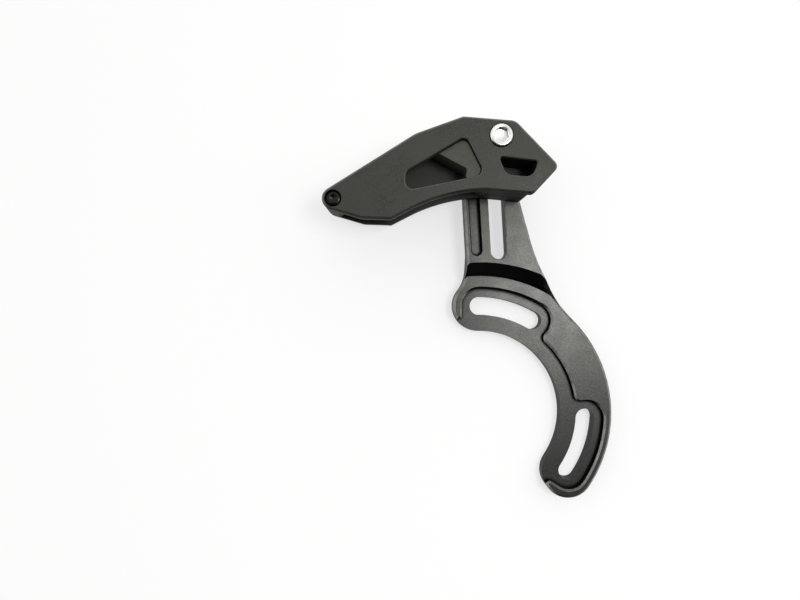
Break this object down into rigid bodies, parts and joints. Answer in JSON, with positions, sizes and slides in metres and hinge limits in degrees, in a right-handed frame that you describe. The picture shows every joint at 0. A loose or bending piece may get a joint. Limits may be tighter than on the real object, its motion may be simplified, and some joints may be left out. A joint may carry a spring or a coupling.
{
  "type": "bicycle chain guide",
  "caption": "Bicycle chain guide: a machined backplate that bolts round the bottom bracket, and an open moulded cage that slides along the slotted arm and clamps over the chain.",
  "frame": {"origin": "on the bottom bracket axis, in the plane of the frame's mounting tabs, which is the back face of the ring", "axes": "+Z outboard along the bottom bracket axis, away from the frame and up as the part lies; +Y up the arm towards the cage; +X towards the front of the bicycle"},
  "size_m": [0.0959, 0.126, 0.0275],
  "materials": {
    "anodised_alloy": "black anodised, satin, bright only at worn edges",
    "moulded_nylon": "moulded, fine matt grain",
    "stainless_steel": "bright, turned",
    "blackened_steel": "black oxide, oiled sheen"
  },
  "bodies": {
    "backplate": {"backplate": "anodised_alloy"},
    "cage": {"inner_cage": "moulded_nylon", "outer_cage": "moulded_nylon", "clamp_bolt": "stainless_steel", "clamp_nut": "stainless_steel", "tip_screw": "blackened_steel", "tip_nut": "blackened_steel"}
  },
  "joints": [
    {"name": "cage_height", "type": "slide", "parent": "backplate", "child": "cage", "axis": [-0.0576, 0.9983, 0], "range_m": [-0.0206, 0.002]}
  ]
}
